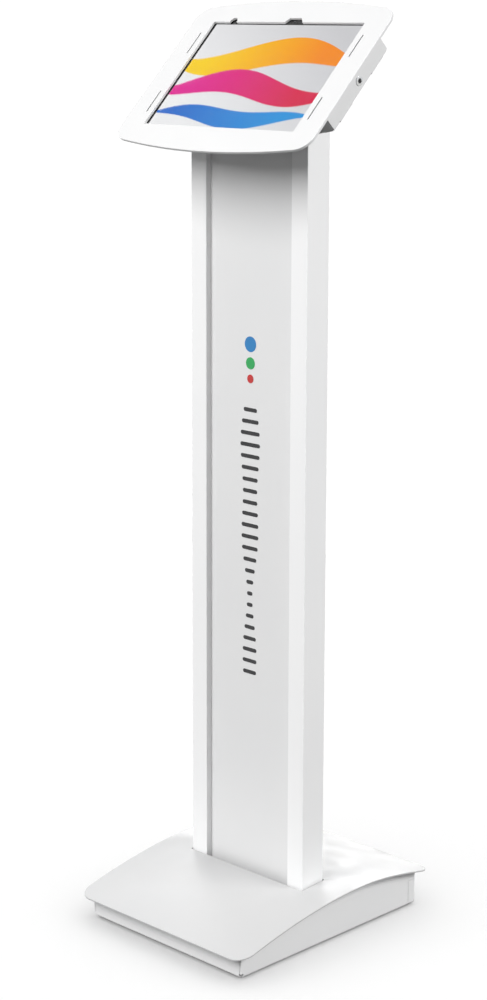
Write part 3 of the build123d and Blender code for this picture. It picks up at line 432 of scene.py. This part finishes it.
def foam():
    """Closed-cell foam, whose cells show on the cut faces."""
    made, tree, shader = start_material("cell_foam", (0.03, 0.03, 0.032), 0.92)
    cells = node(tree, "ShaderNodeTexVoronoi", {"Scale": 2200.0})
    tree.links.new(own_place(tree), cells.inputs["Vector"])
    depth = cells.outputs["Distance"]
    colour = blend_colours(tree, between(tree, depth, 0, 1, 0.1, 0.7),
                           (0.012, 0.012, 0.013), (0.045, 0.045, 0.048))
    tree.links.new(colour, shader.inputs["Base Color"])
    add_bump(tree, shader, depth, 0.1 * MM, 0.8)
    return made


def blackened_lock():
    """Blackened lock steel with turned rings round its axis and bright worn edges."""
    black = (0.045, 0.045, 0.048)
    made, tree, shader = start_material("blackened_steel", black, 0.35, 0.8)
    shift = node(tree, "ShaderNodeMapping", {"Location": -Vector(joint("lock_turn")["pos_m"])})
    rings = node(tree, "ShaderNodeTexWave", {"Scale": 900.0, "Distortion": 0.4},
                 wave_type="RINGS", rings_direction="X")
    tree.links.new(own_place(tree), shift.inputs["Vector"])
    tree.links.new(shift.outputs["Vector"], rings.inputs["Vector"])
    vary_roughness(tree, shader, rings.outputs["Fac"], 0.28, 0.46, 0, 1)
    patches = between(tree, noise(tree, 500.0), 0.2, 0.9)
    wear_edges(tree, shader, 0.4 * MM, patches, black, (0.36, 0.35, 0.33))
    add_bump(tree, shader, rings.outputs["Fac"], 0.01 * MM, 0.5)
    return made


def cover_glass():
    """Clear cover glass with faint smudges."""
    made, tree, shader = start_material("cover_glass", (0.98, 0.985, 0.99), 0.03)
    shader.inputs["Transmission Weight"].default_value = 1.0
    shader.inputs["IOR"].default_value = 1.45
    smudge = noise(tree, 28.0, 4.0, (1, 1, 2.2))
    vary_roughness(tree, shader, smudge, 0.015, 0.075, 0.45, 0.75)
    return made


def satin_black():
    """Satin black film and plastic of the small parts inside."""
    made, tree, shader = start_material("satin_black", (0.03, 0.03, 0.032), 0.5)
    mottle(tree, shader, noise(tree, 70.0), (0.022, 0.022, 0.024), (0.040, 0.040, 0.043))
    vary_roughness(tree, shader, noise(tree, 150.0), 0.42, 0.58)
    add_bump(tree, shader, noise(tree, 1200.0), 0.02 * MM, 0.4)
    return made


def circuit_board():
    """Green solder mask over a fine grid of tracks."""
    made, tree, shader = start_material("solder_mask", (0.01, 0.09, 0.04), 0.35)
    tracks = node(tree, "ShaderNodeTexBrick", {"Scale": 260.0, "Mortar Size": 0.06})
    tree.links.new(own_place(tree), tracks.inputs["Vector"])
    colour = blend_colours(tree, tracks.outputs["Fac"], (0.008, 0.075, 0.032), (0.020, 0.16, 0.07))
    tree.links.new(colour, shader.inputs["Base Color"])
    add_bump(tree, shader, tracks.outputs["Fac"], 0.03 * MM, 0.6)
    return made


def vinyl(name, colour):
    """Cut vinyl, slightly uneven in its colour and gloss."""
    made, tree, shader = start_material(name, colour, 0.38)
    faded = tuple(0.88 * c + 0.012 for c in colour)
    mottle(tree, shader, noise(tree, 45.0, 4.0), colour, faded)
    vary_roughness(tree, shader, noise(tree, 240.0), 0.30, 0.46)
    add_bump(tree, shader, noise(tree, 1500.0), 0.01 * MM, 0.3)
    return made


def printed_mask():
    """Black print on the back of the cover glass."""
    made, tree, shader = start_material("black_print", (0.006, 0.006, 0.007), 0.45)
    vary_roughness(tree, shader, noise(tree, 300.0), 0.40, 0.52)
    return made


def lens_glass():
    """Dark coated lens."""
    made, tree, shader = start_material("coated_lens", (0.008, 0.010, 0.018), 0.06)
    shader.inputs["Coat Weight"].default_value = 1.0
    vary_roughness(tree, shader, noise(tree, 600.0), 0.04, 0.10)
    return made


# ---------------------------------------------------------------- what the screen shows
# Places and sizes on the screen are shares of half its width.
screen_brightness = 0.95
pale_ground = (0.92, 0.92, 0.93)
grey_ground = (0.62, 0.62, 0.64)
ribbon_taper = 0.10
ribbon_edge = 0.006
ribbons = (
    # height, swing, waves, phase, half thickness, first colour, second colour
    (0.24, 0.12, 0.80, 0.6, 0.185, (1.00, 0.66, 0.00), (0.95, 0.26, 0.00)),
    (-0.16, 0.10, 0.95, 2.4, 0.165, (0.80, 0.00, 0.30), (0.72, 0.00, 0.06)),
    (-0.52, 0.05, 1.20, 4.1, 0.120, (0.00, 0.14, 0.62), (0.00, 0.30, 0.75)),
)


def along(tree, place, axis, origin, size):
    """Place along an axis from the screen's middle, as a share of a size."""
    dot = node(tree, "ShaderNodeVectorMath", {1: axis}, operation="DOT_PRODUCT")
    tree.links.new(place, dot.inputs[0])
    return between(tree, dot.outputs["Value"], -1.0, 1.0, origin.dot(axis) - size,
                   origin.dot(axis) + size)


def lit_screen():
    """Lit display: plain coloured ribbons waving over a pale ground."""
    made, tree, shader = start_material("lit_display", (0.02, 0.02, 0.02), 0.3)
    place = own_place(tree)
    left, right = reach("tablet_display", across)
    half = (right - left) / 2
    u = along(tree, place, across, display_middle, half)
    v = along(tree, place, up_slope, display_middle, half)
    slant = between(tree, maths(tree, "ADD", u, v), 0, 1, -1.2, 1.4)
    picture = blend_colours(tree, slant, pale_ground, grey_ground)
    for height, swing, waves, phase, thick, first, second in ribbons:
        angle = maths(tree, "ADD", maths(tree, "MULTIPLY", u, pi * waves), phase)
        wave = maths(tree, "ADD", maths(tree, "MULTIPLY", maths(tree, "SINE", angle), swing), height)
        gap = maths(tree, "ABSOLUTE", maths(tree, "SUBTRACT", v, wave))
        ends = maths(tree, "MULTIPLY", maths(tree, "MULTIPLY", u, u), ribbon_taper)
        inside = between(tree, maths(tree, "ADD", gap, ends), 1.0, 0.0, thick - ribbon_edge, thick)
        colour = blend_colours(tree, between(tree, u, 0, 1, -0.8, 0.7), first, second)
        picture = blend_colours(tree, inside, picture, colour)
    tree.links.new(picture, shader.inputs["Emission Color"])
    shader.inputs["Emission Strength"].default_value = screen_brightness
    return made


materials = {
    # Enclosure white: a darker copy of the coat, as painted shade.
    "white_paint": powder_coat("white_powder_coat", enclosure_painted_shade),
    "dark_steel": primed_plate(),
    "zinc_steel": zinc(),
    "insert_aluminium": mill_aluminium(),
    "black_rubber": rubber(),
    "black_foam": foam(),
    "lock_black": blackened_lock(),
    "tablet_aluminium": anodised(),
    "tablet_glass": cover_glass(),
    "display": lit_screen(),
    "battery_black": satin_black(),
    "board_green": circuit_board(),
    "vinyl_blue": vinyl("blue_vinyl", (0.02, 0.20, 0.48)),
    "vinyl_green": vinyl("green_vinyl", (0.02, 0.36, 0.09)),
    "vinyl_red": vinyl("red_vinyl", (0.55, 0.02, 0.02)),
    "vinyl_black": vinyl("black_vinyl", (0.012, 0.012, 0.014)),
}


def dress_cad_nodes():
    """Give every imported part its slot's material."""
    for part in frame["record"]["subparts"]:
        mesh = nodes[part["node"]].data
        mesh.materials.clear()
        mesh.materials.append(materials[part["material_slot"]])


def dress_coated_parts():
    """Posts have their own brightest coat, which on the base walls is painted light; the front panel has its own
    greyer coat, and the cover a darker copy as painted shade.
    """
    post_and_wall_painted_light_coat = powder_coat("post_and_wall_painted_light_coat", post_white_and_wall_painted_light)
    coats = {
        "post_left": post_and_wall_painted_light_coat,
        "post_right": post_and_wall_painted_light_coat,
        "front_panel": powder_coat("panel_coat", panel_shade),
        # On the base walls the post coat is painted light against the shade under the cover.
        "base_tray": post_and_wall_painted_light_coat,
        "base_rear_wall": post_and_wall_painted_light_coat,
        # Cover: a darker copy of the coat, as painted shade on its upward face.
        "base_cover": powder_coat("cover_painted_shade_coat", cover_painted_shade),
    }
    for name, coat in coats.items():
        mesh = nodes[name].data
        mesh.materials.clear()
        mesh.materials.append(coat)


def soften(name):
    """Small rounds on the sharp edges of a sheet part."""
    piece = nodes[name]
    weld = piece.modifiers.new("join", "WELD")
    weld.merge_threshold = weld_gap
    bevel = piece.modifiers.new("round", "BEVEL")
    bevel.width = edge_softness
    bevel.segments = edge_segments
    bevel.limit_method = "ANGLE"
    bevel.angle_limit = radians(sharp_from_degrees)
    normals = piece.modifiers.new("shade", "WEIGHTED_NORMAL")
    normals.keep_sharp = True


# ---------------------------------------------------------------- pieces modelled afresh
def finish_piece(mesh_data, name, material, body="stand", replaced=()):
    """Turn a bmesh into a piece that rides on a body."""
    bmesh.ops.recalc_face_normals(mesh_data, faces=mesh_data.faces)
    mesh = bpy.data.meshes.new(name)
    mesh_data.to_mesh(mesh)
    mesh_data.free()
    mesh.materials.append(material)
    piece = bpy.data.objects.new(name, mesh)
    bpy.context.scene.collection.objects.link(piece)
    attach(piece, body)
    if replaced:
        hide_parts(*replaced)
    return piece


def lathe(mesh_data, profile, place, axis, segments):
    """Closed turned solid: profile is (radius, height) points that start and end on the axis."""
    turn = Vector(axis).to_track_quat("Z", "Y").to_matrix().to_4x4()
    frame_at = Matrix.Translation(place) @ turn
    rings = []
    angles = [2 * pi * i / segments for i in range(segments)]
    for radius, height in profile:
        if radius == 0:
            ring = [Vector((0, 0, height))]
        else:
            ring = [Vector((radius * cos(a), radius * sin(a), height)) for a in angles]
        rings.append([mesh_data.verts.new(frame_at @ point) for point in ring])
    for low, high in zip(rings, rings[1:]):
        for i in range(segments):
            k = (i + 1) % segments
            corners = [low[i % len(low)], low[k % len(low)], high[k % len(high)], high[i % len(high)]]
            face = mesh_data.faces.new(list(dict.fromkeys(corners)))
            face.smooth = True


def rounded_loop(half_u, half_v, radius):
    """Points of a rounded rectangle, the same number whatever its radius."""
    loop = []
    for quarter, (su, sv) in enumerate(((1, 1), (-1, 1), (-1, -1), (1, -1))):
        for i in range(corner_steps + 1):
            angle = pi / 2 * (quarter + i / corner_steps)
            loop.append((su * (half_u - radius) + radius * cos(angle),
                         sv * (half_v - radius) + radius * sin(angle)))
    return loop


def make_glass_mask():
    """Black frame printed round the display on the back of the cover glass."""
    top = reach("tablet_glass", outward)[0] - mask_gap
    bottom = top - mask_thickness
    glass = [reach("tablet_glass", axis) for axis in (across, up_slope)]
    display = [reach("tablet_display", axis) for axis in (across, up_slope)]
    outer = rounded_loop(*[(high - low) / 2 - housing_wall for low, high in glass], mask_corner)
    inner = rounded_loop(*[(high - low) / 2 + mask_gap for low, high in display], mask_window_corner)
    mesh_data = bmesh.new()
    rings = [[mesh_data.verts.new(on_head(u, v, level)) for u, v in loop]
             for loop, level in ((outer, top), (inner, top), (inner, bottom), (outer, bottom))]
    count = len(outer)
    for first, second in zip(rings, rings[1:] + rings[:1]):
        for i in range(count):
            k = (i + 1) % count
            mesh_data.faces.new((first[i], first[k], second[k], second[i]))
    finish_piece(mesh_data, "glass_mask", printed_mask())


def foot_profile(tall):
    """Half section of a foot: three treads underneath, the innermost narrower, and a domed rim."""
    profile = [(0, foot_groove)]
    for middle in tread_middles:
        inner = (middle - tread_half_width) * foot_radius
        outer = (middle + tread_half_width) * foot_radius
        if middle != tread_middles[0]:
            outer += foot_groove
        profile += [(inner, foot_groove), (inner + foot_groove, 0)]
        profile += [(outer - foot_groove, 0), (outer, foot_groove)]
    profile.append((rim_start * foot_radius, 0.8 * foot_groove))
    profile.append((rim_turn * foot_radius, 2 * foot_groove))
    profile += [(foot_radius, tall / 2), (top_width * foot_radius, tall), (0, tall)]
    return profile


def make_feet():
    """Four moulded feet in place of the plain ones."""
    low, high = reach("rubber_feet", upright)
    box_low, box_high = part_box("rubber_feet")
    profile = foot_profile(high - low)
    mesh_data = bmesh.new()
    for x in (box_low.x + foot_radius, box_high.x - foot_radius):
        for y in (box_low.y + foot_radius, box_high.y - foot_radius):
            lathe(mesh_data, profile, Vector((x, y, low)), upright, foot_segments)
    finish_piece(mesh_data, "moulded_feet", materials["black_rubber"],
                 replaced=("rubber_feet",))


def lens_profile(radius, tall):
    """Half section of a camera: a barrel with a broken edge and a domed lens sunk in it."""
    profile = [(0, 0), (radius, 0), (radius, tall - lens_edge), (radius - lens_edge, tall)]
    profile += [(seat_width * radius, tall), (seat_foot_width * radius, tall - lens_seat)]
    for i in range(dome_steps):
        angle = pi / 2 * i / dome_steps
        height = tall - lens_seat + lens_dome * sin(angle)
        profile.append((dome_width * radius * cos(angle), height))
    profile.append((0, tall - lens_seat + lens_dome))
    return profile


def make_camera_lens(name, plain_camera, facing):
    """Camera with a stepped barrel and a domed lens in place of the plain one."""
    low, high = reach(plain_camera, facing)
    box_low, box_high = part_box(plain_camera)
    radius = (box_high.x - box_low.x) / 2
    middle = centre(plain_camera)
    foot = middle + facing * (low - middle.dot(facing))
    mesh_data = bmesh.new()
    lathe(mesh_data, lens_profile(radius, high - low), foot, facing, lens_segments)
    finish_piece(mesh_data, name, lens_glass(), replaced=(plain_camera,))


make_camera()
make_studio()
dress_cad_nodes()
dress_coated_parts()
for sheet_part in softened_parts:
    soften(sheet_part)
make_glass_mask()
make_feet()
make_camera_lens("front_lens", "front_camera", outward)
make_camera_lens("rear_lens", "rear_camera", -outward)
